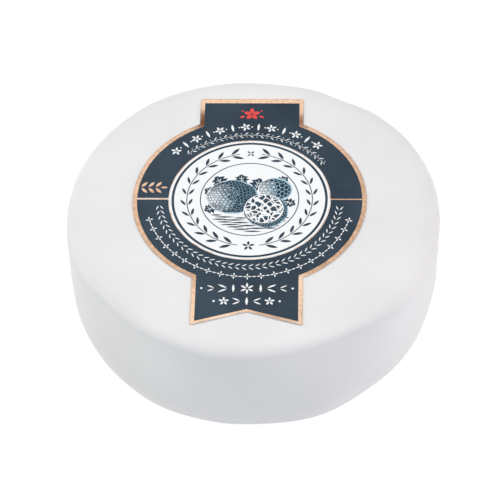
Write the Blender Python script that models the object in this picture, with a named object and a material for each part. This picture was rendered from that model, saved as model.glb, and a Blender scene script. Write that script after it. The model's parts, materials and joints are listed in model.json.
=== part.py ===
# A small whole cheese in a coat of white wax, with the label that lies on its top.
# Metres, +Z up. The origin is at the middle of the base, and +Y points to the label's tab.
import math

import bmesh
import bpy
from mathutils import Matrix

# The cheese in its wax: a flat top, a soft shoulder, a nearly upright side and a rounder foot.
HEIGHT = 0.0295
TOP_RADIUS = 0.0423
BASE_RADIUS = 0.0415
SHOULDER_WIDTH = 0.0052
SHOULDER_DROP = 0.0029
FOOT_WIDTH = 0.0042
FOOT_RISE = 0.0078

# How finely the coat is faceted: around, and over each part of its profile.
STEPS_AROUND = 96
SHOULDER_STEPS = 9
SIDE_STEPS = 8
FOOT_STEPS = 8

# Where the hand-dipped coat swells out (+) or lies hollow (-). Each is an angle round the
# cheese and its half width in degrees, a height and its half reach, and a size.
SHOULDER_LEVEL = 0.027
SWELLS = {
    "far_right_swell": (36.0, 16.0, SHOULDER_LEVEL, 0.009, 0.0003),
    "far_right_hollow": (61.0, 6.0, SHOULDER_LEVEL, 0.009, -0.00095),
    "far_hollow": (82.0, 14.0, SHOULDER_LEVEL, 0.009, -0.0005),
    "far_left_swell": (124.0, 18.0, SHOULDER_LEVEL, 0.009, 0.0007),
    "left_hollow": (178.0, 16.0, 0.026, 0.009, -0.00035),
    "left_side_swell": (200.0, 20.0, 0.012, 0.012, 0.00045),
    "near_left_shoulder_hollow": (218.0, 9.0, SHOULDER_LEVEL, 0.009, -0.0009),
    "near_left_foot_swell": (238.0, 16.0, 0.002, 0.009, 0.00075),
    "near_shoulder_swell": (258.0, 17.0, SHOULDER_LEVEL, 0.009, 0.0009),
    "near_foot_swell": (262.0, 8.0, 0.002, 0.009, 0.0003),
    "near_right_foot_swell": (292.0, 12.0, 0.002, 0.009, 0.00055),
    "near_right_foot_hollow": (310.0, 10.0, 0.002, 0.009, -0.0003),
    "near_right_shoulder_swell": (322.0, 13.0, SHOULDER_LEVEL, 0.007, 0.0006),
    "right_side_hollow": (346.0, 10.0, 0.010, 0.007, -0.00025),
    "right_foot_swell": (3.0, 8.0, 0.008, 0.0055, 0.0008),
    "right_side_swell": (3.0, 8.0, 0.0178, 0.0035, 0.00045),
}

# Where the wax set in a squarer edge at the shoulder. Each is an angle round the cheese and its
# half width in degrees, and how square the edge is, from 0 for the plain soft shoulder to 1.
EDGES = {
    "near_left_edge": (236.0, 20.0, 0.28),
    "near_right_edge": (305.0, 16.0, 0.48),
}

# The label: a disc with a square tab on its far side and a forked ribbon tail on its near side.
LABEL_CENTRE = (-0.00085, 0.00285)
LABEL_RADIUS = 0.02645
TAB_HALF_WIDTH = 0.01205
TAB_END = 0.0319
TAIL_HALF_WIDTH = 0.0123
TAIL_END = 0.0368
TAIL_FORK = 0.0334
LABEL_THICKNESS = 0.0003
LABEL_GAP = 0.0003
LABEL_ARC_STEPS = 28

# Above this angle between two faces an edge is drawn sharp.
SHARP_ANGLE = math.radians(40.0)


def clear_scene():
    """Remove every object that the file starts with."""
    for old in list(bpy.data.objects):
        bpy.data.objects.remove(old, do_unlink=True)


def finish_material(name, color, roughness, gloss=0.0):
    """A plain surface of one colour and roughness, with a share of clear gloss over it."""
    material = bpy.data.materials.new(name)
    material.use_nodes = True
    shader = material.node_tree.nodes["Principled BSDF"]
    shader.inputs["Base Color"].default_value = (*color, 1.0)
    shader.inputs["Roughness"].default_value = roughness
    shader.inputs["Metallic"].default_value = 0.0
    shader.inputs["Coat Weight"].default_value = gloss
    return material


def add_object(name, mesh_builder, material):
    """Turn a bmesh into a named object with its material, round faces shaded smooth."""
    bmesh.ops.recalc_face_normals(mesh_builder, faces=mesh_builder.faces)
    mesh = bpy.data.meshes.new(name)
    mesh_builder.to_mesh(mesh)
    mesh_builder.free()
    mesh.shade_smooth()
    mesh.set_sharp_from_angle(angle=SHARP_ANGLE)
    mesh.materials.append(material)
    piece = bpy.data.objects.new(name, mesh)
    bpy.context.scene.collection.objects.link(piece)
    return piece


def quarter_curve(start, end, steps, bulge_first):
    """Points of a quarter ellipse between two (radius, height) points, without the first.

    With bulge_first the curve leaves start level, and otherwise it leaves start upright."""
    points = []
    for step in range(1, steps + 1):
        turn = math.radians(90.0) * step / steps
        early = math.sin(turn)
        late = 1.0 - math.cos(turn)
        across, down = (early, late) if bulge_first else (late, early)
        radius = start[0] + (end[0] - start[0]) * across
        level = start[1] + (end[1] - start[1]) * down
        points.append((radius, level))
    return points


def coat_profile():
    """The coat's outline as (radius, height), from the edge of the flat top to the flat base."""
    top_edge = (TOP_RADIUS - SHOULDER_WIDTH, HEIGHT)
    side_top = (TOP_RADIUS, HEIGHT - SHOULDER_DROP)
    side_foot = (BASE_RADIUS, FOOT_RISE)
    base_edge = (BASE_RADIUS - FOOT_WIDTH, 0.0)
    points = [top_edge]
    points += quarter_curve(top_edge, side_top, SHOULDER_STEPS, True)
    for step in range(1, SIDE_STEPS + 1):
        share = step / SIDE_STEPS
        radius = side_top[0] + (side_foot[0] - side_top[0]) * share
        level = side_top[1] + (side_foot[1] - side_top[1]) * share
        points.append((radius, level))
    points += quarter_curve(side_foot, base_edge, FOOT_STEPS, False)
    return points


def swelling(angle, level):
    """How far the coat stands out of the plain turned form at an angle and a height."""
    total = 0.0
    for middle, width, height, reach, size in SWELLS.values():
        turn = (angle - middle + 180.0) % 360.0 - 180.0
        total += size * math.exp(-((turn / width) ** 2) - ((level - height) / reach) ** 2)
    return total


def square_edge(radius, level, angle):
    """Where a point of the soft shoulder lies at an angle where the edge is squarer."""
    across = (radius - TOP_RADIUS) / SHOULDER_WIDTH + 1.0
    rise = (level - HEIGHT) / SHOULDER_DROP + 1.0
    if min(across, rise) <= 0.0:
        return radius, level
    power = 1.0
    for middle, width, square in EDGES.values():
        turn = (angle - middle + 180.0) % 360.0 - 180.0
        power -= square * math.exp(-((turn / width) ** 2))
    radius = TOP_RADIUS - SHOULDER_WIDTH * (1.0 - across**power)
    return radius, HEIGHT - SHOULDER_DROP * (1.0 - rise**power)


def make_cheese(material):
    """Spin the profile into a solid, swell it by hand, and centre it on the origin."""
    bm = bmesh.new()
    rim = [bm.verts.new((radius, 0.0, level)) for radius, level in coat_profile()]
    edges = [bm.edges.new(pair) for pair in zip(rim, rim[1:])]
    bmesh.ops.spin(
        bm,
        geom=rim + edges,
        cent=(0.0, 0.0, 0.0),
        axis=(0.0, 0.0, 1.0),
        angle=math.tau,
        steps=STEPS_AROUND,
        use_merge=True,
    )
    bmesh.ops.remove_doubles(bm, verts=bm.verts, dist=1e-6)
    bmesh.ops.holes_fill(bm, edges=[edge for edge in bm.edges if edge.is_boundary], sides=0)
    for vert in bm.verts:
        radius = math.hypot(vert.co.x, vert.co.y)
        angle = math.degrees(math.atan2(vert.co.y, vert.co.x))
        edge_radius, edge_level = square_edge(radius, vert.co.z, angle)
        stretch = (edge_radius + swelling(angle, edge_level)) / radius
        vert.co.x *= stretch
        vert.co.y *= stretch
        vert.co.z = edge_level
    across = [vert.co.x for vert in bm.verts]
    along = [vert.co.y for vert in bm.verts]
    middle = ((min(across) + max(across)) / 2.0, (min(along) + max(along)) / 2.0)
    bmesh.ops.transform(bm, matrix=Matrix.Translation((-middle[0], -middle[1], 0.0)), verts=bm.verts)
    return add_object("waxed_cheese", bm, material)


def arc(start, end):
    """Points of the label's disc from one angle to another, both ends included."""
    points = []
    for step in range(LABEL_ARC_STEPS + 1):
        turn = start + (end - start) * step / LABEL_ARC_STEPS
        points.append((LABEL_RADIUS * math.cos(turn), LABEL_RADIUS * math.sin(turn)))
    return points


def label_outline():
    """The label's outline about the disc's centre, counterclockwise from its tab."""
    tab_turn = math.acos(TAB_HALF_WIDTH / LABEL_RADIUS)
    tail_turn = math.acos(TAIL_HALF_WIDTH / LABEL_RADIUS)
    points = [(TAB_HALF_WIDTH, TAB_END), (-TAB_HALF_WIDTH, TAB_END)]
    points += arc(math.pi - tab_turn, math.pi + tail_turn)
    points += [(-TAIL_HALF_WIDTH, -TAIL_END), (0.0, -TAIL_FORK), (TAIL_HALF_WIDTH, -TAIL_END)]
    points += arc(-tail_turn, tab_turn)
    return points


def make_label(material):
    """Extrude the outline into a thin plate that lies just over the wax."""
    underside = HEIGHT + LABEL_GAP
    bm = bmesh.new()
    corners = []
    for x, y in label_outline():
        corners.append(bm.verts.new((LABEL_CENTRE[0] + x, LABEL_CENTRE[1] + y, underside)))
    sheet = bm.faces.new(corners)
    raised = bmesh.ops.extrude_face_region(bm, geom=[sheet])
    lifted = [item for item in raised["geom"] if isinstance(item, bmesh.types.BMVert)]
    bmesh.ops.translate(bm, verts=lifted, vec=(0.0, 0.0, LABEL_THICKNESS))
    return add_object("label", bm, material)


clear_scene()
make_cheese(finish_material("white_wax", (0.86, 0.86, 0.85), 0.42, 0.15))
make_label(finish_material("slate_paper", (0.045, 0.075, 0.105), 0.55))
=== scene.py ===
import json
import math

import bpy
from mathutils import Matrix, Vector

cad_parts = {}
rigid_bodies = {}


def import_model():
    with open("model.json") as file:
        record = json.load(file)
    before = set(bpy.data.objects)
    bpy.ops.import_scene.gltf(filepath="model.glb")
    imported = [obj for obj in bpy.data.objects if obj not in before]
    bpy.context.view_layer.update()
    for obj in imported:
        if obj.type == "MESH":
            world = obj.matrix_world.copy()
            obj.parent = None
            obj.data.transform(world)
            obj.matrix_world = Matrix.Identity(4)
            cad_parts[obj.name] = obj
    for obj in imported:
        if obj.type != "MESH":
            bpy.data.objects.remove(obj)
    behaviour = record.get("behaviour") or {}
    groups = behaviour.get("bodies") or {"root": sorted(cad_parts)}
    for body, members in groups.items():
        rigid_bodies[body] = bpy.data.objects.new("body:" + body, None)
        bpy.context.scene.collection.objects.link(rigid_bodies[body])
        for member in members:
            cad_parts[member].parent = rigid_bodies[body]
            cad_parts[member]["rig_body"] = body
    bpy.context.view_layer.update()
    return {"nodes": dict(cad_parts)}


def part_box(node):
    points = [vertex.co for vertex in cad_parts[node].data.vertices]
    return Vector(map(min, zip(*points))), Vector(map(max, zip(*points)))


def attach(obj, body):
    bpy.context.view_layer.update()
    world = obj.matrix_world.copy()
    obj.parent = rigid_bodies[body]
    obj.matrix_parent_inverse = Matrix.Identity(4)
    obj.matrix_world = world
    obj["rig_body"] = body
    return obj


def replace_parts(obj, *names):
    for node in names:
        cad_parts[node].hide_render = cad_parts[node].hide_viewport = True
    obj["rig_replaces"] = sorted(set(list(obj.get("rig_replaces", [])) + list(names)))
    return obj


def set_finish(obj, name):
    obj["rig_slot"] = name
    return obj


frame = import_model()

MM = 0.001

# The camera stands on the side of the label's tail and looks down on the cheese through a long
# lens. It is turned a little round the cheese, and its head leans by a degree and a half.
CAMERA_HEIGHT_ANGLE = math.radians(48.28)
CAMERA_TURN = math.radians(-2.406)
CAMERA_LEAN = math.radians(1.584)
CAMERA_DISTANCE = 581.9 * MM
CAMERA_LENS = 185.8
AIM_RIGHT_OF_DISC = 0.09 * MM
AIM_BELOW_DISC = 11.35 * MM
TAB_REACH = 31.9 * MM

CHEESE_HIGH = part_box("waxed_cheese")[1]
LABEL_LOW, LABEL_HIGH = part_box("label")
WAX_TOP = CHEESE_HIGH.z
DISC_X = (LABEL_LOW.x + LABEL_HIGH.x) / 2
DISC_Y = LABEL_HIGH.y - TAB_REACH

ahead = Vector((math.sin(CAMERA_TURN), math.cos(CAMERA_TURN), 0))
across = Vector((math.cos(CAMERA_TURN), -math.sin(CAMERA_TURN), 0))
upward = Vector((0, 0, 1))
look = ahead * math.cos(CAMERA_HEIGHT_ANGLE) - upward * math.sin(CAMERA_HEIGHT_ANGLE)
upright = ahead * math.sin(CAMERA_HEIGHT_ANGLE) + upward * math.cos(CAMERA_HEIGHT_ANGLE)
camera_right = across * math.cos(CAMERA_LEAN) - upright * math.sin(CAMERA_LEAN)
camera_up = across * math.sin(CAMERA_LEAN) + upright * math.cos(CAMERA_LEAN)

camera_data = bpy.data.cameras.new("camera")
camera_data.lens = CAMERA_LENS
camera_data.sensor_width = 36
camera_data.clip_start = 0.01
camera_data.clip_end = 20
camera = bpy.data.objects.new("camera", camera_data)
bpy.context.scene.collection.objects.link(camera)
aim = Vector((DISC_X, DISC_Y, WAX_TOP)) + camera_right * AIM_RIGHT_OF_DISC - camera_up * AIM_BELOW_DISC
camera.matrix_world = (
    Matrix.Translation(aim - look * CAMERA_DISTANCE)
    @ Matrix((camera_right, camera_up, -look)).transposed().to_4x4()
)
bpy.context.scene.camera = camera


# The studio is a lit white table in a dim pale room, under one wide soft light. Weaker soft lights
# stand behind the cheese and at its sides: a warm one at the right, and a cool one nearer to the
# camera.
FLOOR_WIDTH = 6.0
FLOOR_GAP = 0.02 * MM
FLOOR_GREY = 0.2
FLOOR_GLOW = 0.88
ROOM_COLOR = (0.8, 0.92, 1.0)
ROOM_GLOW = 0.14
bpy.context.scene.view_settings.view_transform = "Standard"
bpy.context.scene.view_settings.look = "None"

world = bpy.data.worlds.new("pale_room")
bpy.context.scene.world = world
world.use_nodes = True
world.node_tree.nodes["Background"].inputs["Color"].default_value = (*ROOM_COLOR, 1.0)
world.node_tree.nodes["Background"].inputs["Strength"].default_value = ROOM_GLOW


def hang_softbox(name, position, width, power, color):
    """A square soft light at a position, turned to face the cheese."""
    light = bpy.data.lights.new(name, "AREA")
    light.shape = "SQUARE"
    light.size = width
    light.energy = power
    light.color = color
    lamp = bpy.data.objects.new(name, light)
    lamp.location = position
    lamp.rotation_euler = (-Vector(position)).to_track_quat("-Z", "Y").to_euler()
    bpy.context.scene.collection.objects.link(lamp)


# Each light has a place and a width in metres, a power in watts and a colour.
hang_softbox("overhead_softbox", (0, 0, 0.9), 0.9, 5.99, (1.0, 0.978, 0.960))
hang_softbox("far_softbox", (0, 0.6, 0.75), 0.9, 2.17, (1.0, 1.0, 1.0))
hang_softbox("far_left_softbox", (-0.8, 0.75, 0.45), 0.8, 1.46, (1.0, 1.0, 1.0))
hang_softbox("left_softbox", (-1.1, -0.1, 0.45), 0.8, 5.07, (0.99, 1.0, 0.965))
hang_softbox("right_softbox", (1.1, -0.1, 0.45), 0.8, 4.39, (1.0, 0.797, 0.633))
hang_softbox("near_right_softbox", (0.8, -0.75, 0.45), 0.8, 3.35, (0.591, 0.722, 1.0))

bpy.ops.object.select_all(action="DESELECT")
bpy.ops.mesh.primitive_plane_add(size=FLOOR_WIDTH, location=(0, 0, -FLOOR_GAP))
floor = bpy.context.active_object
floor.name = "floor"
floor_paint = bpy.data.materials.new("white_table")
floor_paint.use_nodes = True
floor_shader = floor_paint.node_tree.nodes["Principled BSDF"]
floor_shader.inputs["Base Color"].default_value = (FLOOR_GREY, FLOOR_GREY, FLOOR_GREY, 1.0)
floor_shader.inputs["Roughness"].default_value = 0.9
floor_shader.inputs["Specular IOR Level"].default_value = 0.1
floor_shader.inputs["Emission Color"].default_value = (1.0, 1.0, 1.0, 1.0)
floor_shader.inputs["Emission Strength"].default_value = FLOOR_GLOW
floor.data.materials.append(floor_paint)


# The coat: white wax about a millimetre thick, dipped by hand over the cheese. It has a flat
# top, a soft shoulder and a rounder foot, and it swells a little where it ran and set.
TOP_RADIUS = 42.3 * MM
BASE_RADIUS = 41.5 * MM
SHOULDER_WIDTH = 5.2 * MM
SHOULDER_DROP = 2.9 * MM
FOOT_WIDTH = 4.2 * MM
FOOT_RISE = 7.8 * MM
COAT_SIDES = 96
SHOULDER_RINGS = 9
SIDE_RINGS = 8
FOOT_RINGS = 8
FLAT_RINGS = (0.93, 0.85, 0.76, 0.66, 0.55, 0.43, 0.30, 0.16)
WAX_COLOR = (0.746, 0.743, 0.747)
WAX_SHADE = (0.704, 0.702, 0.706)
# Painted shade: near the floor the wax darkens towards this grey, from the first height down to the
# second.
PAINTED_FOOT_SHADE = (0.640, 0.640, 0.646)
FOOT_SHADE_TOP = 5 * MM
FOOT_SHADE_BOTTOM = 2 * MM
CLOUD_LENGTH = 26 * MM
CLOUD_START = (-224 * MM, -200 * MM, 0)
CLOUD_LOW = 0.35
CLOUD_HIGH = 0.65
WAVE_LENGTH = 14 * MM
WAVE_HEIGHT = 0.30 * MM
DIMPLE_LENGTH = 5 * MM
DIMPLE_HEIGHT = 0.06 * MM
WAX_GRAIN = 0.8 * MM
WAX_GRAIN_HEIGHT = 0.02 * MM
LABEL_HOLD = 24 * MM
HOLD_FADE = 14 * MM
HELD_SHARE = 0.12
FLOOR_HOLD = 4 * MM
TOUCHING = 0.01 * MM


def pick(piece, wanted, kind="VERT"):
    """In edit mode, leave selected only the points or the faces that a test accepts."""
    bpy.ops.mesh.select_mode(type=kind)
    bpy.ops.object.mode_set(mode="OBJECT")
    for group in (piece.data.vertices, piece.data.edges, piece.data.polygons):
        group.foreach_set("select", [False] * len(group))
    for item in piece.data.vertices if kind == "VERT" else piece.data.polygons:
        item.select = wanted(item)
    bpy.ops.object.mode_set(mode="EDIT")


def start_edit(piece):
    """Go into edit mode on one piece, with all of it selected."""
    bpy.ops.object.select_all(action="DESELECT")
    bpy.context.view_layer.objects.active = piece
    piece.select_set(True)
    bpy.ops.object.mode_set(mode="EDIT")
    bpy.ops.mesh.select_mode(type="VERT")
    bpy.ops.mesh.select_all(action="SELECT")


def end_edit():
    """Turn every face outwards and go back to object mode."""
    bpy.ops.mesh.select_all(action="SELECT")
    bpy.ops.mesh.normals_make_consistent(inside=False)
    bpy.ops.object.mode_set(mode="OBJECT")


def shape_with(piece, kind, **settings):
    """Add a modifier, set it and apply it."""
    modifier = piece.modifiers.new(kind.lower(), kind)
    for setting, value in settings.items():
        setattr(modifier, setting, value)
    bpy.ops.object.select_all(action="DESELECT")
    bpy.context.view_layer.objects.active = piece
    piece.select_set(True)
    bpy.ops.object.modifier_apply(modifier=modifier.name)


def coat_rings():
    """The coat's rings from the edge of its base to the edge of its top: radius and height."""
    found = []
    for step in range(FOOT_RINGS + 1):
        turn = math.pi / 2 * step / FOOT_RINGS
        radius = BASE_RADIUS - FOOT_WIDTH * (1 - math.sin(turn))
        found.append((radius, FOOT_RISE * (1 - math.cos(turn))))
    side_top = WAX_TOP - SHOULDER_DROP
    for step in range(1, SIDE_RINGS + 1):
        share = step / SIDE_RINGS
        radius = BASE_RADIUS + (TOP_RADIUS - BASE_RADIUS) * share
        found.append((radius, FOOT_RISE + (side_top - FOOT_RISE) * share))
    for step in range(1, SHOULDER_RINGS + 1):
        turn = math.pi / 2 * step / SHOULDER_RINGS
        radius = TOP_RADIUS - SHOULDER_WIDTH * (1 - math.cos(turn))
        found.append((radius, side_top + SHOULDER_DROP * math.sin(turn)))
    return found


def draw_through(rings):
    """Extrude the selected rim through a list of rings about the upright axis."""
    radius, level = rings[0]
    for next_radius, next_level in rings[1:]:
        rise = (0, 0, next_level - level)
        bpy.ops.mesh.extrude_edges_move(TRANSFORM_OT_translate={"value": rise})
        stretch = next_radius / radius
        bpy.ops.transform.resize(value=(stretch, stretch, 1), center_override=(0, 0, next_level))
        radius, level = next_radius, next_level


def close_flat(radius, level):
    """Draw the selected rim inwards over a flat face, and close its middle."""
    draw_through([(radius, level)] + [(radius * share, level) for share in FLAT_RINGS])
    bpy.ops.mesh.edge_face_add()


rings = coat_rings()
bpy.ops.object.select_all(action="DESELECT")
bpy.ops.mesh.primitive_circle_add(vertices=COAT_SIDES, radius=rings[0][0], location=(0, 0, 0))
coat = bpy.context.active_object
coat.name = "wax_coat"
start_edit(coat)
draw_through(rings)
close_flat(*rings[-1])
pick(coat, lambda vert: vert.co.z < TOUCHING)
close_flat(*rings[0])
end_edit()
shape_with(
    coat,
    "SHRINKWRAP",
    target=frame["nodes"]["waxed_cheese"],
    wrap_method="NEAREST_SURFACEPOINT",
)
shape_with(coat, "SUBSURF", levels=2, render_levels=2)


def add_relief(piece, group, length, height):
    """Shallow soft relief of one size over a group of points."""
    clouds = bpy.data.textures.new(group.name, "CLOUDS")
    clouds.noise_scale = length
    clouds.noise_depth = 1
    shape_with(
        piece,
        "DISPLACE",
        texture=clouds,
        texture_coords="LOCAL",
        vertex_group=group.name,
        strength=height,
        mid_level=0.5,
    )


free_wax = coat.vertex_groups.new(name="free_wax")
for vert in coat.data.vertices:
    from_disc = math.hypot(vert.co.x - DISC_X, vert.co.y - DISC_Y)
    clear_of_label = min(1.0, max(HELD_SHARE, (from_disc - LABEL_HOLD) / HOLD_FADE))
    clear_of_floor = min(1.0, max(0.0, vert.co.z / FLOOR_HOLD))
    free_wax.add([vert.index], clear_of_label * clear_of_floor, "REPLACE")
add_relief(coat, free_wax, WAVE_LENGTH, WAVE_HEIGHT)
add_relief(coat, free_wax, DIMPLE_LENGTH, DIMPLE_HEIGHT)
coat.vertex_groups.clear()
coat.data.shade_smooth()


def start_material(name):
    """A new node material, its tree and its shader."""
    material = bpy.data.materials.new(name)
    material.use_nodes = True
    tree = material.node_tree
    return material, tree, tree.nodes["Principled BSDF"]


def add_place(tree):
    """The object's own coordinates."""
    return tree.nodes.new("ShaderNodeTexCoord").outputs["Object"]


def add_axis(tree, axis):
    """One of the object's own coordinates."""
    parts = tree.nodes.new("ShaderNodeSeparateXYZ")
    tree.links.new(add_place(tree), parts.inputs["Vector"])
    return parts.outputs[axis]


def add_noise(tree, grain, detail=2.0, start=(0, 0, 0)):
    """Noise on the object's own coordinates, with grains of about one length."""
    shift = tree.nodes.new("ShaderNodeMapping")
    shift.inputs["Location"].default_value = start
    noise = tree.nodes.new("ShaderNodeTexNoise")
    noise.inputs["Scale"].default_value = 1 / grain
    noise.inputs["Detail"].default_value = detail
    tree.links.new(add_place(tree), shift.inputs["Vector"])
    tree.links.new(shift.outputs["Vector"], noise.inputs["Vector"])
    return noise.outputs["Fac"]


def blend_colors(tree, factor, low, low_color, high, high_color):
    """A colour that goes from one to another as a factor goes from low to high."""
    ramp = tree.nodes.new("ShaderNodeValToRGB")
    ramp.color_ramp.elements[0].position = low
    ramp.color_ramp.elements[0].color = (*low_color, 1.0)
    ramp.color_ramp.elements[1].position = high
    ramp.color_ramp.elements[1].color = (*high_color, 1.0)
    tree.links.new(factor, ramp.inputs["Fac"])
    return ramp.outputs["Color"]


def mix_in(tree, factor, first, second):
    """A colour mixed from two by a factor."""
    mixer = tree.nodes.new("ShaderNodeMix")
    mixer.data_type = "RGBA"
    tree.links.new(factor, mixer.inputs["Factor"])
    for socket, value in (("A", first), ("B", second)):
        target = [item for item in mixer.inputs if item.name == socket and item.type == "RGBA"][0]
        if isinstance(value, tuple):
            target.default_value = (*value, 1.0)
        else:
            tree.links.new(value, target)
    return [item for item in mixer.outputs if item.type == "RGBA"][0]


def add_range(tree, value, low, high, most=1.0):
    """A factor that goes from 0 to its most while a value goes from low to high."""
    node = tree.nodes.new("ShaderNodeMapRange")
    node.inputs["From Min"].default_value = low
    node.inputs["From Max"].default_value = high
    node.inputs["To Max"].default_value = most
    tree.links.new(value, node.inputs["Value"])
    return node.outputs["Result"]


NOISE_LOW, NOISE_MIDDLE, NOISE_HIGH = 0.3, 0.5, 0.7


def add_mottle(tree, grain, color, share):
    """A colour that wanders a little to either side of one, in patches of about one length."""
    low = tuple(part * (1 - share) for part in color)
    high = tuple(part * (1 + share) for part in color)
    return blend_colors(tree, add_noise(tree, grain, detail=3.0), NOISE_LOW, low, NOISE_HIGH, high)


def add_bump(tree, shader, height, distance, strength):
    """Fine relief on a shader: a distance high where the height is 1, times a strength."""
    bump = tree.nodes.new("ShaderNodeBump")
    bump.inputs["Strength"].default_value = strength
    bump.inputs["Distance"].default_value = distance
    tree.links.new(height, bump.inputs["Height"])
    tree.links.new(bump.outputs["Normal"], shader.inputs["Normal"])


wax, tree, shader = start_material("white_wax")
clouding = add_noise(tree, CLOUD_LENGTH, start=CLOUD_START)
clouded = blend_colors(tree, clouding, CLOUD_LOW, WAX_SHADE, CLOUD_HIGH, WAX_COLOR)
# Painted shade: the wax turns greyer towards the floor at its foot.
painted_foot_shade = add_range(tree, add_axis(tree, "Z"), FOOT_SHADE_TOP, FOOT_SHADE_BOTTOM)
tree.links.new(mix_in(tree, painted_foot_shade, clouded, PAINTED_FOOT_SHADE), shader.inputs["Base Color"])
shader.inputs["Roughness"].default_value = 0.48
shader.inputs["IOR"].default_value = 1.44
shader.inputs["Subsurface Weight"].default_value = 0.12
shader.inputs["Subsurface Radius"].default_value = (1.0, 0.92, 0.85)
shader.inputs["Subsurface Scale"].default_value = 1.5 * MM
add_bump(tree, shader, add_noise(tree, WAX_GRAIN, detail=3.0), WAX_GRAIN_HEIGHT, strength=0.5)
coat.data.materials.append(wax)
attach(coat, "root")
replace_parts(coat, "waxed_cheese")
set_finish(coat, "white_wax")


# The label's paper: one stiff white sheet cut to a disc with a square tab on its far side and a
# forked ribbon tail on its near side. It is stuck on the wax, and all the print lies on it.
DISC_RADIUS = 26.45 * MM
TAB_HALF_WIDTH = 12.05 * MM
TAIL_HALF_WIDTH = 12.3 * MM
TAIL_REACH = 37.1 * MM
FORK_DEPTH = 3.75 * MM
PAPER_UNDERSIDE = WAX_TOP + 0.06 * MM
PAPER_TOP = WAX_TOP + 0.18 * MM
DISC_SIDES = 192
FLAT_ANGLE = math.radians(0.5)
PAPER_COLOR = (0.72, 0.69, 0.66)
PAPER_FIBRE = 0.4 * MM
PAPER_TOOTH = 0.15 * MM
PAPER_TOOTH_HEIGHT = 0.01 * MM


def cut_strip(half_width, near, far):
    """A block of paper as thick as the sheet, from one distance to another along the label."""
    bpy.ops.object.select_all(action="DESELECT")
    bpy.ops.mesh.primitive_cube_add(
        size=1,
        location=(DISC_X, DISC_Y + (near + far) / 2, (PAPER_UNDERSIDE + PAPER_TOP) / 2),
        scale=(2 * half_width, far - near, PAPER_TOP - PAPER_UNDERSIDE),
    )
    bpy.ops.object.transform_apply(location=True, rotation=True, scale=True)
    return bpy.context.active_object


bpy.ops.object.select_all(action="DESELECT")
bpy.ops.mesh.primitive_cylinder_add(
    vertices=DISC_SIDES,
    radius=DISC_RADIUS,
    depth=PAPER_TOP - PAPER_UNDERSIDE,
    location=(DISC_X, DISC_Y, (PAPER_UNDERSIDE + PAPER_TOP) / 2),
)
paper = bpy.context.active_object
paper.name = "label_paper"
bpy.ops.object.transform_apply(location=True, rotation=True, scale=True)
tab = cut_strip(TAB_HALF_WIDTH, 0, TAB_REACH)
tail = cut_strip(TAIL_HALF_WIDTH, -TAIL_REACH, 0)
start_edit(tail)
bpy.ops.mesh.bisect(plane_co=(DISC_X, 0, 0), plane_no=(1, 0, 0))
fork_line = DISC_Y - TAIL_REACH + FORK_DEPTH / 2
pick(tail, lambda vert: abs(vert.co.x - DISC_X) < TOUCHING and vert.co.y < fork_line)
bpy.ops.transform.translate(value=(0, FORK_DEPTH, 0))
end_edit()
for strip in (tab, tail):
    shape_with(paper, "BOOLEAN", operation="UNION", object=strip, solver="EXACT")
    bpy.data.objects.remove(strip, do_unlink=True)
start_edit(paper)
bpy.ops.mesh.dissolve_limited(angle_limit=FLAT_ANGLE)
end_edit()

paper_stock, tree, shader = start_material("label_paper")
tree.links.new(add_mottle(tree, PAPER_FIBRE, PAPER_COLOR, share=0.04), shader.inputs["Base Color"])
shader.inputs["Roughness"].default_value = 0.7
add_bump(tree, shader, add_noise(tree, PAPER_TOOTH), PAPER_TOOTH_HEIGHT, strength=0.4)
paper.data.materials.append(paper_stock)
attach(paper, "root")
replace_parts(paper, "label")
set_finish(paper, "white_print")


# The ground and the border: dark slate ink over the sheet, and round it a border of grainy copper
# foil, a millimetre wide and broader at the tab's end. A painted reflection makes the foil brighter
# towards the far left. It is paler on the tab and tail and brown in spots, those at the tab's inner
# corners being painted dark reflection. Its outer edge is greyed in patches with painted shade, and
# the die that cut the sheet left its corners rounded.
EDGE_WIDTH = 0.32 * MM
BORDER_WIDTH = 0.72 * MM
# Past each reach along the label, the border's inner corners lie off by a step.
BORDER_ENDS = ((29 * MM, -0.41 * MM), (-31 * MM, -0.30 * MM))
CORNER_ROUND = 0.6 * MM
INK = 0.015 * MM
FOIL = 0.030 * MM
GROUND_TOP = PAPER_TOP + INK
SLATE_COLOR = (0.0275, 0.051, 0.0775)
SLATE_DEEP = (0.0105, 0.027, 0.0445)
MOTTLE_LENGTH = 14 * MM
MOTTLE_START = (98 * MM, 202 * MM, 0)
INK_ROUGHNESS = 0.5
INK_TOOTH_HEIGHT = 0.006 * MM
DARK_INK_TOOTH = 0.25 * MM
DARK_INK_GLOSS = 0.25
# Bright and dim copper are the two ends of a painted reflection across the foil.
COPPER_BRIGHT_SHEEN = (0.749, 0.481, 0.320)
COPPER_DIM_SHEEN = (0.513, 0.299, 0.172)
COPPER_PALE = (0.822, 0.562, 0.382)
COPPER_BROWN = (0.150, 0.043, 0.006)
COPPER_GLINT = (0.98, 0.74, 0.55)
# Painted shade for the border's outer edge: the grey that the edge turns to in patches.
COPPER_EDGE_SHADE = (0.34, 0.32, 0.33)
# Painted reflection: the foil goes from bright copper at the far left to dim copper at the near right,
# along this heading between these distances, wandering in patches.
SHEEN_HEADING = (0.5, -0.87, 0)
SHEEN_START = -12 * MM
SHEEN_END = 38 * MM
SHEEN_WANDER = 30 * MM
WANDER_LENGTH = 7 * MM
FLECK_LENGTH = 0.5 * MM
FLECK_HEIGHT = 0.01 * MM
GLINTS = 0.40
STAINS = 0.31
FOIL_WEAR_AND_SHADE_LENGTH = 2.5 * MM
# The reaches along the label over which the foil turns pale, in millimetres.
PALE_REACHES = ((25.6, 28.6), (-23.0, -27.0))
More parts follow.
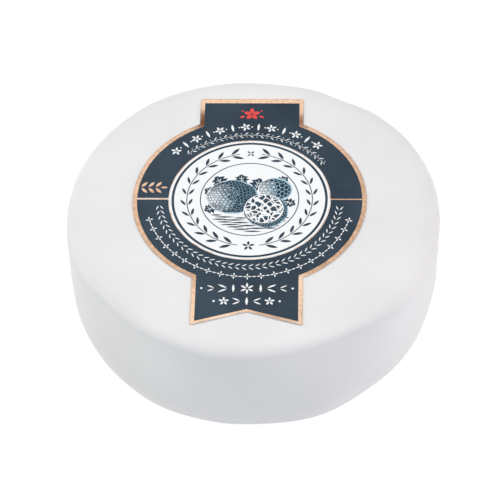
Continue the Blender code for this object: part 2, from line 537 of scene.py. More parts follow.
# Spots on the foil: across and along from the disc's middle, the outer and the inner radius, all in
# millimetres, and the strength. The first three brown spots, at the tab's inner corners, are painted
# dark reflection, and the glint spots are painted highlights.
BROWN_SPOTS_AND_DARK_REFLECTIONS = (
    (-11.5, 24.9, 3.9, 1.4, 0.93),
    (-11.6, 24.0, 1.3, 0.7, 1.0),
    (11.6, 24.4, 3.1, 0.5, 0.78),
    (11.6, 27.0, 4.5, 1.5, 0.10),
    (6.5, -35.0, 6.5, 3.0, 0.38),
    (0.0, -33.4, 4.5, 1.5, 0.10),
    (-16.5, 20.3, 6.5, 2.5, 0.10),
    (-12.0, -27.3, 3.5, 1.5, 0.10),
)
GLINT_SPOTS = (
    (12.6, -24.6, 3.0, 1.2, 0.55),
    (-5.2, -35.0, 3.2, 1.6, 0.35),
    (9.5, -36.0, 3.2, 1.6, 0.12),
)


def split_off(piece, name):
    """In edit mode, part what is selected from a piece as a new object."""
    before = set(bpy.context.scene.objects)
    bpy.ops.mesh.separate(type="SELECTED")
    bpy.ops.object.mode_set(mode="OBJECT")
    parted = [item for item in bpy.context.scene.objects if item not in before][0]
    parted.name = name
    return parted


def inset_off(piece, width, name, ends=()):
    """Leave a flat piece as a rim of one width, and part what lies inside it.

    Each end moves the inner corners that lie past a reach from the disc's middle by a step."""
    start_edit(piece)
    bpy.ops.mesh.inset(thickness=width, use_even_offset=True)
    bpy.ops.object.mode_set(mode="OBJECT")
    inner = {corner for face in piece.data.polygons if face.select for corner in face.vertices}
    bpy.ops.object.mode_set(mode="EDIT")
    for reach, step in ends:
        pick(piece, lambda vert: vert.index in inner and (vert.co.y - DISC_Y) / reach > 1)
        bpy.ops.transform.translate(value=(0, step, 0))
    pick(piece, lambda face: inner.issuperset(face.vertices), "FACE")
    return split_off(piece, name)


def thicken(piece, depth):
    """Raise a flat print by its thickness, as a closed body."""
    start_edit(piece)
    bpy.ops.mesh.extrude_region_move(TRANSFORM_OT_translate={"value": (0, 0, depth)})
    end_edit()


def finish_print(piece, material, slot):
    """Give a print its one material, and tie it to the cheese."""
    piece.data.materials.clear()
    piece.data.materials.append(material)
    piece.data.polygons.foreach_set("material_index", [0] * len(piece.data.polygons))
    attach(piece, "root")
    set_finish(piece, slot)


def round_corners(piece):
    """Round the outer corners of a thick piece, at the ends of the tab and of the tail."""

    def at_corner(vert, side):
        if side * (vert.co.x - DISC_X) < TAB_HALF_WIDTH - EDGE_WIDTH / 2:
            return False
        along = vert.co.y - DISC_Y
        return along > TAB_REACH - TOUCHING or along < TOUCHING - TAIL_REACH

    for side in (-1, 1):
        start_edit(piece)
        pick(piece, lambda vert: at_corner(vert, side))
        bpy.ops.mesh.bevel(offset=CORNER_ROUND, segments=4, affect="EDGES")
        end_edit()


# A copy of the sheet brings the sheet's notes on what it rides on and stands for, so they go.
border_edge = paper.copy()
border_edge.data = paper.data.copy()
border_edge.name = "copper_border_edge"
border_edge.parent = None
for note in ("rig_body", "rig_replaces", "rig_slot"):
    del border_edge[note]
bpy.context.scene.collection.objects.link(border_edge)
start_edit(border_edge)
pick(border_edge, lambda face: face.normal.z < 0.9, "FACE")
bpy.ops.mesh.delete(type="FACE")
bpy.ops.object.mode_set(mode="OBJECT")
border = inset_off(border_edge, EDGE_WIDTH, "copper_border")
ground = inset_off(border, BORDER_WIDTH, "slate_ground", BORDER_ENDS)
thicken(ground, INK)
thicken(border, FOIL)
thicken(border_edge, FOIL)
for piece in (paper, border_edge):
    round_corners(piece)


def finish_dark_ink(tree, shader, color):
    """Give a shader a dark ink's colour, with its low gloss and fine tooth."""
    tree.links.new(color, shader.inputs["Base Color"])
    shader.inputs["Roughness"].default_value = INK_ROUGHNESS
    shader.inputs["Specular IOR Level"].default_value = DARK_INK_GLOSS
    tooth = add_noise(tree, DARK_INK_TOOTH, detail=3.0)
    add_bump(tree, shader, tooth, INK_TOOTH_HEIGHT, strength=0.5)


slate, tree, shader = start_material("slate_ink")
mottle = add_noise(tree, MOTTLE_LENGTH, detail=3.0, start=MOTTLE_START)
finish_dark_ink(
    tree, shader, blend_colors(tree, mottle, NOISE_LOW, SLATE_DEEP, NOISE_HIGH, SLATE_COLOR)
)


def make_copper(name, wear_and_shade=0.0, worn_and_shaded_to=COPPER_EDGE_SHADE):
    """Copper foil with a painted reflection, brighter towards the far left, and with glints, stains and
    spots.

    In patches a share of the foil gives way to another colour: worn foil on the thin lines, painted shade
    on the border's outer edge."""
    foil, tree, shader = start_material(name)
    place = add_place(tree)
    along = add_axis(tree, "Y")
    across = tree.nodes.new("ShaderNodeVectorMath")
    across.operation = "DOT_PRODUCT"
    across.inputs[1].default_value = SHEEN_HEADING
    tree.links.new(place, across.inputs[0])
    wander = tree.nodes.new("ShaderNodeMath")
    wander.operation = "MULTIPLY_ADD"
    wander.inputs[1].default_value = SHEEN_WANDER
    tree.links.new(add_noise(tree, WANDER_LENGTH), wander.inputs[0])
    tree.links.new(across.outputs["Value"], wander.inputs[2])
    # Painted reflection: brighter copper towards the far left, dimmer towards the near right.
    painted_sheen = add_range(tree, wander.outputs["Value"], SHEEN_START, SHEEN_END)
    color = mix_in(tree, painted_sheen, COPPER_BRIGHT_SHEEN, COPPER_DIM_SHEEN)
    for low, high in PALE_REACHES:
        reach = add_range(tree, along, DISC_Y + low * MM, DISC_Y + high * MM)
        color = mix_in(tree, reach, color, COPPER_PALE)
    flecks = add_noise(tree, FLECK_LENGTH, detail=4.0)
    glints = add_range(tree, flecks, NOISE_MIDDLE, NOISE_HIGH, GLINTS)
    color = mix_in(tree, glints, color, COPPER_GLINT)
    stains = add_range(tree, flecks, NOISE_MIDDLE, NOISE_LOW, STAINS)
    color = mix_in(tree, stains, color, COPPER_BROWN)
    # Brown spots, the first of them painted dark reflection at the tab's inner corners, and glint spots
    # of painted highlight.
    for spots, spot_color in ((BROWN_SPOTS_AND_DARK_REFLECTIONS, COPPER_BROWN), (GLINT_SPOTS, COPPER_GLINT)):
        for x, y, outer, inner, strength in spots:
            distance = tree.nodes.new("ShaderNodeVectorMath")
            distance.operation = "DISTANCE"
            distance.inputs[1].default_value = (DISC_X + x * MM, DISC_Y + y * MM, PAPER_TOP)
            tree.links.new(place, distance.inputs[0])
            nearness = add_range(tree, distance.outputs["Value"], outer * MM, inner * MM, strength)
            color = mix_in(tree, nearness, color, spot_color)
    # Patches of another colour: wear on the thin lines, painted shade on the border's outer edge.
    if wear_and_shade:
        patches = add_noise(tree, FOIL_WEAR_AND_SHADE_LENGTH, detail=3.0)
        worn_and_shaded = add_range(tree, patches, NOISE_LOW, NOISE_HIGH, 2 * wear_and_shade)
        color = mix_in(tree, worn_and_shaded, color, worn_and_shaded_to)
    tree.links.new(color, shader.inputs["Base Color"])
    shader.inputs["Metallic"].default_value = 0.3
    shader.inputs["Roughness"].default_value = 0.4
    add_bump(tree, shader, flecks, FLECK_HEIGHT, strength=0.4)
    return foil


copper = make_copper("copper_foil")
finish_print(ground, slate, "slate_print")
finish_print(border, copper, "copper_foil")
# The border's outer edge: copper greyed in patches by painted shade.
finish_print(border_edge, make_copper("copper_foil_edge", wear_and_shade=0.3), "copper_foil")


# The medallion: a white printed disc at the label's middle, with a hair of copper foil round it
# and two fine copper lines that part the slate ground to its left and right.
MEDALLION_RADIUS = 18.30 * MM
RIM_WIDTH = 0.26 * MM
MEDALLION_TOP = GROUND_TOP + INK
WHITE_COLOR = (0.818, 0.835, 0.845)
WHITE_CLOUDS = 2 * MM
PLAIN_INK_TOOTH = 0.2 * MM
LEFT_LINE = 0.48 * MM
RIGHT_LINE = 0.31 * MM


def cut_disc(name, radius, sides=DISC_SIDES):
    """A flat round about the label's middle, at level zero."""
    bpy.ops.object.select_all(action="DESELECT")
    bpy.ops.mesh.primitive_circle_add(vertices=sides, radius=radius, fill_type="NGON", location=(0, 0, 0))
    disc = bpy.context.active_object
    disc.name = name
    return disc


def cut_ring(name, inner, outer, sides=DISC_SIDES):
    """A flat ring about the label's middle, at level zero."""
    ring = cut_disc(name, outer, sides)
    start_edit(ring)
    bpy.ops.mesh.inset(thickness=outer - inner, use_even_offset=True)
    bpy.ops.mesh.delete(type="FACE")
    bpy.ops.object.mode_set(mode="OBJECT")
    return ring


def join_marks(name, marks):
    """Make several flat marks one, unturned and unscaled."""
    bpy.ops.object.select_all(action="DESELECT")
    for mark in marks:
        mark.select_set(True)
    bpy.context.view_layer.objects.active = marks[0]
    if len(marks) > 1:
        bpy.ops.object.join()
    joined = bpy.context.active_object
    joined.name = name
    bpy.ops.object.transform_apply(location=True, rotation=True, scale=True)
    return joined


def press(marks, name, level, depth, material, slot):
    """Join flat marks drawn about the label's middle into one print at its level."""
    printed = join_marks(name, marks)
    printed.location = (DISC_X, DISC_Y, level)
    bpy.ops.object.transform_apply(location=True, rotation=True, scale=True)
    thicken(printed, depth)
    finish_print(printed, material, slot)
    return printed


def finish_plain_ink(tree, shader, color):
    """Give a shader a plain ink's colour and its fine tooth."""
    tree.links.new(color, shader.inputs["Base Color"])
    shader.inputs["Roughness"].default_value = INK_ROUGHNESS
    add_bump(tree, shader, add_noise(tree, PLAIN_INK_TOOTH), INK_TOOTH_HEIGHT, strength=0.4)


white, tree, shader = start_material("white_ink")
finish_plain_ink(tree, shader, add_mottle(tree, WHITE_CLOUDS, WHITE_COLOR, share=0.012))

press([cut_disc("medallion", MEDALLION_RADIUS)], "white_medallion", GROUND_TOP, INK, white, "white_print")
rim = cut_ring("rim", MEDALLION_RADIUS - RIM_WIDTH, MEDALLION_RADIUS)
thin_copper = make_copper("thin_copper_foil", wear_and_shade=0.5, worn_and_shaded_to=WHITE_COLOR)
press([rim], "medallion_rim", MEDALLION_TOP, INK, thin_copper, "copper_foil")
pale_copper = make_copper("pale_copper_foil", wear_and_shade=0.3, worn_and_shaded_to=WHITE_COLOR)
line_start = MEDALLION_RADIUS
line_end = DISC_RADIUS - EDGE_WIDTH - BORDER_WIDTH
for name, side, width, foil in (("left", -1, LEFT_LINE, pale_copper), ("right", 1, RIGHT_LINE, copper)):
    bpy.ops.object.select_all(action="DESELECT")
    bpy.ops.mesh.primitive_plane_add(size=1, location=(side * (line_start + line_end) / 2, 0, 0))
    divider = bpy.context.active_object
    divider.scale = (line_end - line_start, width, 1)
    press([divider], name + "_copper_line", GROUND_TOP, INK, foil, "copper_foil")


# The slate lines on the medallion: a ring near its edge, and the fine circle round its picture.
SLATE_RING_RADIUS = 17.33 * MM
SLATE_RING_WIDTH = 0.58 * MM
PICTURE_RADIUS = 11.2 * MM
PICTURE_LINE = 0.22 * MM
half_width = SLATE_RING_WIDTH / 2
medallion_lines = [
    cut_ring("edge_ring", SLATE_RING_RADIUS - half_width, SLATE_RING_RADIUS + half_width),
    cut_ring("picture_ring", PICTURE_RADIUS - PICTURE_LINE, PICTURE_RADIUS),
]
press(medallion_lines, "medallion_lines", MEDALLION_TOP, INK, slate, "slate_print")


# The bold upper band: white blossoms and lozenges in turn, along an arc above the medallion.
BAND_RADIUS = 22.7 * MM
BAND_START = math.radians(139)
BAND_END = math.radians(48)
BAND_MARKS = 13
# A leaf starts as a lozenge, and keeps a share of its width when its side corners are rounded.
LEAF_ROUNDING = 0.65
WIDTH_KEPT = 0.62


def cut_leaf(name, length, width, round_steps=6):
    """A flat pointed leaf along X: a lozenge whose two side corners are bevelled round."""
    bpy.ops.object.select_all(action="DESELECT")
    bpy.ops.mesh.primitive_circle_add(vertices=4, radius=0.5, fill_type="NGON", location=(0, 0, 0))
    leaf = bpy.context.active_object
    leaf.name = name
    full_width = width / WIDTH_KEPT
    leaf.scale = (length, full_width, 1)
    bpy.ops.object.transform_apply(location=True, rotation=True, scale=True)
    start_edit(leaf)
    pick(leaf, lambda vert: abs(vert.co.y) > full_width / 4)
    bpy.ops.mesh.bevel(
        offset=LEAF_ROUNDING * math.hypot(length / 2, full_width / 2),
        segments=round_steps,
        affect="VERTICES",
        clamp_overlap=True,
    )
    bpy.ops.object.mode_set(mode="OBJECT")
    return leaf


def stamp(pattern, x, y, turn=0.0, size=1.0):
    """A copy of a flat pattern, with its own mesh, at a place on the label."""
    mark = pattern.copy()
    mark.data = pattern.data.copy()
    bpy.context.scene.collection.objects.link(mark)
    mark.location = (x, y, 0)
    mark.rotation_euler = (0, 0, turn)
    mark.scale = (size, size, 1)
    return mark


def around(angle, radius):
    """The place at an angle about the label's middle and a distance from it."""
    return radius * math.cos(angle), radius * math.sin(angle)


def cut_blossom(name, petals, length, width, eye):
    """A flat blossom of leaf-shaped petals of one size round an open eye."""
    petal = cut_leaf("petal", length, width)
    marks = []
    for number in range(petals):
        turn = math.pi / 2 + math.tau * number / petals
        marks.append(stamp(petal, *around(turn, eye + length / 2), turn))
    bpy.data.objects.remove(petal, do_unlink=True)
    return join_marks(name, marks)


blossom = cut_blossom("blossom", petals=5, length=1.12 * MM, width=0.50 * MM, eye=0.14 * MM)
lozenge = cut_leaf("lozenge", length=2.3 * MM, width=0.62 * MM, round_steps=2)
dot = cut_disc("dot", radius=0.18 * MM, sides=12)
band_marks = []
for number in range(BAND_MARKS):
    angle = BAND_START + (BAND_END - BAND_START) * number / (BAND_MARKS - 1)
    pattern = blossom if number % 2 == 0 else lozenge
    band_marks.append(stamp(pattern, *around(angle, BAND_RADIUS), angle))
    if number < BAND_MARKS - 1:
        between = angle + (BAND_END - BAND_START) / (BAND_MARKS - 1) / 2
        band_marks.append(stamp(dot, *around(between, BAND_RADIUS)))
press(band_marks, "upper_blossom_band", GROUND_TOP, INK, white, "white_print")


# The fine upper band: a thin white vine under the bold one. Small leaves lean out of it to either
# side in turn, each with a dot across the stem.
VINE_RADIUS = 20.1 * MM
VINE_START = math.radians(136)
VINE_END = math.radians(33)
VINE_LINE = 0.09 * MM
VINE_LEAVES = 30
VINE_LEAF_LEAN = math.radians(38)
VINE_LEAF_STEP = 0.50 * MM
VINE_DOT_STEP = 0.55 * MM
VINE_DOT_SIZE = 0.65
ARC_SIDES = 360


def cut_arc(name, radius, width, start, end):
    """A flat line of one width along an arc, cut from a ring."""
    arc = cut_ring(name, radius - width / 2, radius + width / 2, ARC_SIDES)
    middle = (start + end) / 2
    half = abs(end - start) / 2

    def outside(vert):
        turn = math.atan2(vert.co.y, vert.co.x) - middle
        return abs((turn + math.pi) % math.tau - math.pi) > half

    start_edit(arc)
    pick(arc, outside)
    bpy.ops.mesh.delete(type="VERT")
    bpy.ops.object.mode_set(mode="OBJECT")
    return arc


vine_leaf = cut_leaf("vine_leaf", length=1.12 * MM, width=0.25 * MM, round_steps=4)
vine_marks = [cut_arc("vine_stem", VINE_RADIUS, VINE_LINE, VINE_START, VINE_END)]
for number in range(VINE_LEAVES):
    angle = VINE_START + (VINE_END - VINE_START) * (number + 0.5) / VINE_LEAVES
    side = 1 if number % 2 == 0 else -1
    heading = angle - math.pi / 2 + side * VINE_LEAF_LEAN
    leaf_place = around(angle, VINE_RADIUS + side * VINE_LEAF_STEP)
    dot_place = around(angle, VINE_RADIUS - side * VINE_DOT_STEP)
    vine_marks.append(stamp(vine_leaf, *leaf_place, heading))
    vine_marks.append(stamp(dot, *dot_place, size=VINE_DOT_SIZE))
press(vine_marks, "upper_vine", GROUND_TOP, INK, white, "white_print")


# The lower bands: an ear of small grains under the medallion, and outside it a row of little
# four-petalled flowers with dashes between them.
GRAIN_RADIUS = 20.4 * MM
GRAIN_START = math.radians(185.5)
GRAIN_END = math.radians(354.5)
GRAIN_PAIRS = 40
GRAIN_LEAN = math.radians(30)
GRAIN_STEP = 0.50 * MM
FLOWER_RADIUS = 23.2 * MM
FLOWER_START = math.radians(196)
FLOWER_END = math.radians(344)
FLOWER_MARKS = 41
grain = cut_leaf("grain", length=1.35 * MM, width=0.26 * MM, round_steps=4)
dash = cut_leaf("dash", length=1.1 * MM, width=0.26 * MM, round_steps=4)
small_flower = cut_blossom("small_flower", petals=4, length=0.78 * MM, width=0.32 * MM, eye=0.10 * MM)
grain_marks = []
for number in range(GRAIN_PAIRS):
    angle = GRAIN_START + (GRAIN_END - GRAIN_START) * (number + 0.5) / GRAIN_PAIRS
    for side in (-1, 1):
        heading = angle + math.pi / 2 + side * GRAIN_LEAN
        grain_marks.append(stamp(grain, *around(angle, GRAIN_RADIUS - side * GRAIN_STEP), heading))
for number in range(FLOWER_MARKS):
    angle = FLOWER_START + (FLOWER_END - FLOWER_START) * number / (FLOWER_MARKS - 1)
    pattern = small_flower if number % 2 == 0 else dash
    grain_marks.append(stamp(pattern, *around(angle, FLOWER_RADIUS), angle + math.pi / 2))
press(grain_marks, "lower_grain_bands", GROUND_TOP, INK, white, "white_print")


# The tail's two rows: a large blossom between lozenges and leaves, and a smaller row below it.
ROW_ONE = -26.6 * MM
ROW_TWO = -30.3 * MM
TAIL_LEAF_LEAN = math.radians(26)
tail_blossom = cut_blossom("tail_blossom", petals=6, length=1.42 * MM, width=0.46 * MM, eye=0.2 * MM)
tail_leaf = cut_leaf("tail_leaf", length=2.2 * MM, width=0.42 * MM)
# What stands on either side of a row's middle: how far across, the row, a turn and a size.
SIDE_MARKS = (
    (lozenge, 3.0 * MM, ROW_ONE, math.pi / 2, 0.95),
    (dot, 10.0 * MM, ROW_ONE, 0.0, 1.5),
    (blossom, 5.0 * MM, ROW_TWO, 0.0, 0.95),
    (dot, 7.2 * MM, ROW_TWO, 0.0, 1.5),
)
# The pairs of leaves: how far across, the row, how far each lies off its line, and a size.
LEAF_PAIRS = (
    (5.4 * MM, ROW_ONE, 0.62 * MM, 1.0),
    (8.0 * MM, ROW_ONE, 0.50 * MM, 0.75),
    (2.3 * MM, ROW_TWO, 0.50 * MM, 0.85),
)
row_marks = [stamp(tail_blossom, 0, ROW_ONE), stamp(lozenge, 0, ROW_TWO, math.pi / 2)]
for side in (-1, 1):
    for pattern, x, row, turn, size in SIDE_MARKS:
        row_marks.append(stamp(pattern, side * x, row, turn, size))
    for rise in (-1, 1):
        turn = side * rise * TAIL_LEAF_LEAN
        for x, row, step, size in LEAF_PAIRS:
            row_marks.append(stamp(tail_leaf, side * x, row + rise * step, turn, size))
press(row_marks, "tail_rows", GROUND_TOP, INK, white, "white_print")


# The sprig: three pairs of leaves and one at the tip, stamped in copper foil on the slate ground
# over the left copper line.
SPRIG_X = -21.7 * MM
SPRIG_Y = 3.5 * MM
SPRIG_TIP = 2.30 * MM
SPRIG_TIP_SIZE = 0.8
SPRIG_PAIRS = 3
SPRIG_FIRST_PAIR = 1.0 * MM
SPRIG_PITCH = 1.6 * MM
SPRIG_LEAF_STEP = 0.92 * MM
SPRIG_LEAF_LEAN = math.radians(50)
sprig_leaf = cut_leaf("sprig_leaf", length=2.05 * MM, width=0.72 * MM)
sprig_marks = [stamp(sprig_leaf, SPRIG_X + SPRIG_TIP, SPRIG_Y, size=SPRIG_TIP_SIZE)]
for number in range(SPRIG_PAIRS):
    x = SPRIG_X + SPRIG_FIRST_PAIR - SPRIG_PITCH * number
    for rise in (-1, 1):
        y = SPRIG_Y + rise * SPRIG_LEAF_STEP
        sprig_marks.append(stamp(sprig_leaf, x, y, rise * SPRIG_LEAF_LEAN))
press(sprig_marks, "copper_sprig", GROUND_TOP, INK, copper, "copper_foil")


# The red blossom: printed in red ink at the middle of the tab, with a leaf and a dot on either
# side.
RED_Y = 26.9 * MM
RED_LEAF_ACROSS, RED_LEAF_DOWN = 2.25 * MM, 0.9 * MM
RED_LEAF_LEAN = math.radians(25)
RED_DOT_ACROSS, RED_DOT_UP = 2.2 * MM, 1.0 * MM
RED_DOT_SIZE = 1.3
RED_COLOR = (0.72, 0.042, 0.030)
RED_CLOUDS = 1.2 * MM
red, tree, shader = start_material("red_ink")
finish_plain_ink(tree, shader, add_mottle(tree, RED_CLOUDS, RED_COLOR, share=0.08))
red_petals = cut_blossom("red_petals", petals=5, length=1.80 * MM, width=1.05 * MM, eye=0.16 * MM)
red_leaf = cut_leaf("red_leaf", length=1.4 * MM, width=0.55 * MM)
red_marks = [stamp(red_petals, 0, RED_Y)]
for side in (-1, 1):
    turn = -side * RED_LEAF_LEAN
    red_marks.append(stamp(red_leaf, side * RED_LEAF_ACROSS, RED_Y - RED_LEAF_DOWN, turn))
    red_marks.append(stamp(dot, side * RED_DOT_ACROSS, RED_Y + RED_DOT_UP, size=RED_DOT_SIZE))
press(red_marks, "red_blossom", GROUND_TOP, INK, red, "red_print")


# The wreath: two laurel branches in slate ink round the white medallion, with larger leaves near
# their ends than at the sides.
WREATH_RADIUS = 14.15 * MM
WREATH_LEAVES = 12
WREATH_START = math.radians(-80)
WREATH_END = math.radians(80)
WREATH_BRANCH = 0.20 * MM
WREATH_LEAF = 2.55 * MM
WREATH_LEAF_LEAN = math.radians(31)
WREATH_LEAF_STEP = 0.26 * MM
FIRST_LEAF = 0.4
LEAF_SIZES = 0.14
FLOWER_SIZE = 1.2
BLOSSOM_SIZE = 1.15
laurel = cut_leaf("laurel", WREATH_LEAF, width=0.70 * MM)
wreath_marks = []
for branch in (-1, 1):
    start = WREATH_START if branch == 1 else math.pi - WREATH_START
    end = WREATH_END if branch == 1 else math.pi - WREATH_END
    wreath_marks.append(cut_arc("branch", WREATH_RADIUS, WREATH_BRANCH, start, end))
    for number in range(WREATH_LEAVES):
        angle = start + (end - start) * (number + FIRST_LEAF) / WREATH_LEAVES
        along = angle + branch * math.pi / 2
        size = 1 - LEAF_SIZES * math.cos(2 * angle)
        for side in (-1, 1):
            heading = along - branch * side * WREATH_LEAF_LEAN
            stalk_x, stalk_y = around(angle, WREATH_RADIUS + side * WREATH_LEAF_STEP)
            middle_x, middle_y = around(heading, size * WREATH_LEAF / 2)
            x, y = stalk_x + middle_x, stalk_y + middle_y
            wreath_marks.append(stamp(laurel, x, y, heading, size))
wreath_marks.append(stamp(small_flower, 0, WREATH_RADIUS, math.pi / 4, FLOWER_SIZE))
wreath_marks.append(stamp(blossom, 0, -WREATH_RADIUS, size=BLOSSOM_SIZE))
press(wreath_marks, "laurel_wreath", MEDALLION_TOP, INK, slate, "slate_print")


# The picture's leaves: oak leaves behind the truffles, with white ribs. The picture is printed in a
# deeper and bluer ink than the slate ground, over a pale blue wash.
INK_COLOR = (0.003, 0.029, 0.056)
WASH_COLOR = (0.35, 0.53, 0.64)
PICTURE_CLOUDS = 1 * MM
LAYER = 0.012 * MM
# Each leaf: where its stalk starts, across and along, its heading in degrees, its length and its
# width, with lengths in millimetres.
OAK_LEAVES = (
    ("far_left", -7.4, 1.4, 150, 3.2, 2.6),
    ("left", -5.6, 3.6, 124, 4.0, 3.2),
    ("upper", -1.7, 4.2, 96, 3.4, 2.8),
    ("middle", 1.1, 2.4, 74, 4.2, 3.1),
    ("upper_right", 6.0, 4.8, 36, 3.2, 2.3),
    ("low_left", -7.0, -2.2, 204, 3.4, 2.6),
    ("right", 7.4, -0.4, -24, 3.2, 2.4),
)
LOBES = 4
LOBE_DEPTH = 0.28
STEPS_IN_A_LOBE = 7
LEAF_FULLNESS = 0.8
WIDTH_AT_BASE = 0.75
WIDTH_AT_TIP = 1.20
STALK_WIDTH = 0.03
TIP_NARROWING = 0.1
# Each rib of a leaf: where it leaves the middle one, its lean in degrees and its length, with
# lengths as shares of the leaf's. The side ribs stand a little off the middle one.
VEINS = ((0.07, 0, 0.86), (0.32, 42, 0.20), (0.32, -42, 0.20), (0.55, 42, 0.24), (0.55, -42, 0.24))
RIB_SPREAD = 1.25
MIDDLE_RIB_WIDTH = 0.19 * MM
SIDE_RIB_WIDTH = 0.15 * MM
STROKE_SLIMNESS = 0.10


def oak_leaf_width(share):
    """How wide an oak leaf is at a share of its length: lobed, and wider past its middle."""
    swell = math.sin(math.pi * share) ** LEAF_FULLNESS
    lobes = 1 + LOBE_DEPTH * math.cos(math.tau * LOBES * share)
    taper = WIDTH_AT_BASE + (WIDTH_AT_TIP - WIDTH_AT_BASE) * share
    return max(STALK_WIDTH, swell * lobes * taper)


def cut_oak_leaf(name, length, width):
    """A flat lobed leaf along X from the origin, drawn out of its stalk edge by edge."""
    steps = LOBES * STEPS_IN_A_LOBE
    step = length / steps
    bpy.ops.object.select_all(action="DESELECT")
    bpy.ops.mesh.primitive_plane_add(size=step, location=(step / 2, 0, 0))
    leaf = bpy.context.active_object
    leaf.name = name
    bpy.ops.object.transform_apply(location=True, rotation=True, scale=True)
    start_edit(leaf)
    bpy.ops.transform.resize(value=(1, width * oak_leaf_width(0) / step, 1))
    pick(leaf, lambda vert: vert.co.x > step / 2)
    for number in range(1, steps):
        spread = oak_leaf_width(number / steps) / oak_leaf_width((number - 1) / steps)
        bpy.ops.transform.resize(value=(1, spread, 1), center_override=(number * step, 0, 0))
        bpy.ops.mesh.extrude_edges_move(TRANSFORM_OT_translate={"value": (step, 0, 0)})
    bpy.ops.transform.resize(value=(1, TIP_NARROWING, 1), center_override=(length, 0, 0))
    bpy.ops.object.mode_set(mode="OBJECT")
    return leaf


stroke = cut_leaf("stroke", length=1.0, width=STROKE_SLIMNESS, round_steps=2)


def stamp_stroke(x, y, turn, length, width):
    """A tapered stroke of one length and width, at a place on the label."""
    mark = stamp(stroke, x, y, turn)
    mark.scale = (length, width / STROKE_SLIMNESS, 1)
    return mark


picture_ink, tree, shader = start_material("picture_ink")
finish_dark_ink(tree, shader, add_mottle(tree, PICTURE_CLOUDS, INK_COLOR, share=0.20))

oak_marks = []
rib_marks = []
for name, x, y, heading, length, width in OAK_LEAVES:
    oak_leaf = cut_oak_leaf("oak_leaf_" + name, length * MM, width * MM)
    oak_leaf.location = (x * MM, y * MM, 0)
    oak_leaf.rotation_euler = (0, 0, math.radians(heading))
    oak_marks.append(oak_leaf)
    for start, lean, reach in VEINS:
        along = start + reach / 2 * math.cos(math.radians(lean))
        off = reach / 2 * math.sin(math.radians(lean)) * RIB_SPREAD
        angle = math.radians(heading) + math.atan2(off, along)
        rib_x, rib_y = around(angle, length * MM * math.hypot(along, off))
        rib_width = SIDE_RIB_WIDTH if lean else MIDDLE_RIB_WIDTH
        turn = math.radians(heading + lean)
        rib = stamp_stroke(x * MM + rib_x, y * MM + rib_y, turn, length * reach * MM, rib_width)
        rib_marks.append(rib)
press(oak_marks, "oak_leaves", MEDALLION_TOP, LAYER, picture_ink, "slate_print")
press(rib_marks, "oak_leaf_ribs", MEDALLION_TOP + LAYER, LAYER, white, "white_print")


# The ground under the truffles: short tapered strokes of the picture's ink, as in an engraving.
# Each has its middle, across and along, and its length, in millimetres.
STROKE_WIDTH = 0.45 * MM
STROKES = (
    (-7.4, -4.9, 2.6), (-5.6, -5.5, 4.6), (-1.9, -5.8, 3.2), (-6.6, -6.2, 3.6), (-3.4, -6.4, 5.0),
    (-5.4, -7.0, 3.6), (-2.0, -7.2, 4.4), (-4.2, -7.8, 4.6), (-0.4, -8.1, 4.4), (-3.0, -8.5, 4.2),
    (1.6, -8.9, 4.8), (-1.6, -9.2, 4.0), (5.4, -8.1, 3.0), (4.6, -8.8, 3.4), (0.8, -9.8, 4.2),
    (8.0, -5.6, 2.0), (7.2, -6.6, 2.2),
)
stroke_marks = []
for x, y, length in STROKES:
    stroke_marks.append(stamp_stroke(x * MM, y * MM, 0.0, length * MM, STROKE_WIDTH))
press(stroke_marks, "ground_strokes", MEDALLION_TOP, LAYER, picture_ink, "slate_print")


# The truffles' skins: rounds of dark many-sided warts, left as outlines where the light falls.
# Each starts as a faceted ball, whose corners are cut until the skin is all small cells.
LIGHT_FROM = Vector((-0.70, -0.12, 0.70)).normalized()
# How far a cell's corners wander and are cut off, as shares of the cell, and how steep a cell may
# stand before it is left out.
CELL_WANDER = 0.48
CELL_CUT = 0.80
STEEPEST_CELL = 0.14
# Where the wash is full blue, as a share of the truffle's radius right of its middle.
WASH_FULL = 0.2
TRUFFLE_EDGE = 0.12 * MM
ROUND_SIDES = 48
# Each truffle: its middle across and along, its radius, how flat it is, the seed and the number of
# cuts of its cells, the gap between them, then how squarely the cells face the light and how wide
# their outlines are, step by step. Lengths are in millimetres.
TRUFFLES = (
    ("rear", 5.7, 2.9, 3.75, 0.95, 21, 2, 0.08, (0.90, 0.70, 0.52), (0.13, 0.22, 0.32)),
    ("whole", -3.9, 0.6, 5.75, 0.88, 4, 3, 0.038, (0.97, 0.89, 0.73, 0.56), (0.08, 0.12, 0.18, 0.26)),
    ("half", 3.7, -3.7, 4.9, 1.0, 9, 3, 0.045, (0.90,), (0.10,)),
)


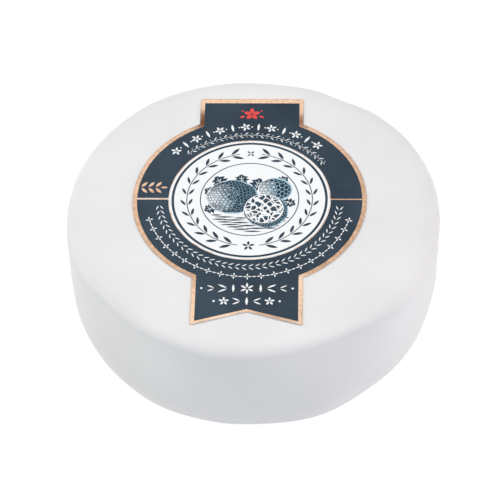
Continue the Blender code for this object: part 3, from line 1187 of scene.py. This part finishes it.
def cut_skin(name, radius, flatness, seed, cuts, gap, lit_steps, lit_lines):
    """A truffle's skin as flat ink cells: dark, or only outlined where it is lit.

    Each cut more halves the cells. The outlines grow wider by steps, from the cells that face
    the light most."""
    bpy.ops.object.select_all(action="DESELECT")
    bpy.ops.mesh.primitive_ico_sphere_add(subdivisions=cuts, radius=radius, location=(0, 0, 0))
    skin = bpy.context.active_object
    skin.name = name
    start_edit(skin)
    cell = radius / 2**cuts
    bpy.ops.transform.vertex_random(offset=CELL_WANDER * cell, seed=seed)
    bpy.ops.mesh.bevel(offset=CELL_CUT * cell, segments=1, affect="VERTICES", clamp_overlap=True)
    pick(skin, lambda face: face.normal.z < STEEPEST_CELL, "FACE")
    bpy.ops.mesh.delete(type="FACE")
    bpy.ops.mesh.select_all(action="SELECT")
    bpy.ops.mesh.inset(thickness=gap, use_individual=True)
    bpy.ops.mesh.select_all(action="INVERT")
    bpy.ops.mesh.delete(type="FACE")
    bpy.ops.object.mode_set(mode="OBJECT")
    most = math.inf
    for least, line in zip(lit_steps, lit_lines):
        start_edit(skin)
        pick(
            skin,
            lambda face: least < face.normal.dot(LIGHT_FROM) <= most and len(face.vertices) > 4,
            "FACE",
        )
        bpy.ops.mesh.inset(thickness=line * MM, use_individual=True)
        bpy.ops.mesh.delete(type="FACE")
        bpy.ops.object.mode_set(mode="OBJECT")
        most = least
    start_edit(skin)
    bpy.ops.transform.resize(value=(1, flatness, 0), center_override=(0, 0, 0))
    bpy.ops.object.mode_set(mode="OBJECT")
    return skin


def make_wash(name, x, radius):
    """White where a truffle is lit, and a pale blue wash on its shaded side."""
    wash, tree, shader = start_material(name)
    middle = DISC_X + x
    shade = add_range(tree, add_axis(tree, "X"), middle - radius, middle + WASH_FULL * radius)
    finish_plain_ink(tree, shader, mix_in(tree, shade, WHITE_COLOR, WASH_COLOR))
    return wash


level = MEDALLION_TOP + 2 * LAYER
for name, x, y, radius, flatness, seed, cuts, gap, lit_steps, lit_lines in TRUFFLES:
    back = cut_disc(name + "_back", radius * MM + TRUFFLE_EDGE, ROUND_SIDES)
    back.location = (x * MM, y * MM, 0)
    back.scale = (1, flatness, 1)
    wash = make_wash(name + "_truffle_wash", x * MM, radius * MM)
    press([back], name + "_truffle_ground", level, LAYER, wash, "white_print")
    skin = cut_skin(name + "_skin", radius * MM, flatness, seed, cuts, gap * MM, lit_steps, lit_lines)
    skin.location = (x * MM, y * MM, 0)
    press([skin], name + "_truffle_skin", level + LAYER, LAYER, picture_ink, "slate_print")
    level += 2 * LAYER


# The halved truffle's cut face: a pale edge round dark flesh, marbled with fine white veins.
FACE_X, FACE_Y, FACE_RADIUS = 3.3 * MM, -3.0 * MM, 4.2 * MM
FACE_EDGE = 0.22 * MM
MARBLING = 1.25 * MM
MARBLING_WANDER = 1.5 * MM
MARBLING_WANDER_LENGTH = 1.6 * MM
VEIN_CORE = 0.095
VEIN_EDGE = 0.135
face_edge = cut_disc("face_edge", FACE_RADIUS + FACE_EDGE, ROUND_SIDES)
face_edge.location = (FACE_X, FACE_Y, 0)
press([face_edge], "half_truffle_edge", level, LAYER, white, "white_print")

flesh, tree, shader = start_material("truffle_flesh_print")
wander = tree.nodes.new("ShaderNodeTexNoise")
wander.inputs["Scale"].default_value = 1 / MARBLING_WANDER_LENGTH
shift = tree.nodes.new("ShaderNodeVectorMath")
shift.operation = "MULTIPLY_ADD"
shift.inputs[1].default_value = (MARBLING_WANDER, MARBLING_WANDER, 0)
veins = tree.nodes.new("ShaderNodeTexVoronoi")
veins.feature = "DISTANCE_TO_EDGE"
veins.inputs["Scale"].default_value = 1 / MARBLING
tree.links.new(add_place(tree), wander.inputs["Vector"])
tree.links.new(wander.outputs["Color"], shift.inputs[0])
tree.links.new(add_place(tree), shift.inputs[2])
tree.links.new(shift.outputs[0], veins.inputs["Vector"])
from_vein = veins.outputs["Distance"]
marbled = blend_colors(tree, from_vein, VEIN_CORE, WHITE_COLOR, VEIN_EDGE, INK_COLOR)
tree.links.new(marbled, shader.inputs["Base Color"])
shader.inputs["Roughness"].default_value = INK_ROUGHNESS
face = cut_disc("face", FACE_RADIUS, ROUND_SIDES)
face.location = (FACE_X, FACE_Y, 0)
press([face], "half_truffle_face", level + LAYER, LAYER, flesh, "slate_print")

# The patterns that the print was stamped with go at the end, as only their copies are printed.
patterns = [blossom, lozenge, dot, vine_leaf, grain, dash, small_flower, tail_blossom, tail_leaf]
patterns += [sprig_leaf, red_petals, red_leaf, laurel, stroke]
for pattern in patterns:
    bpy.data.objects.remove(pattern, do_unlink=True)
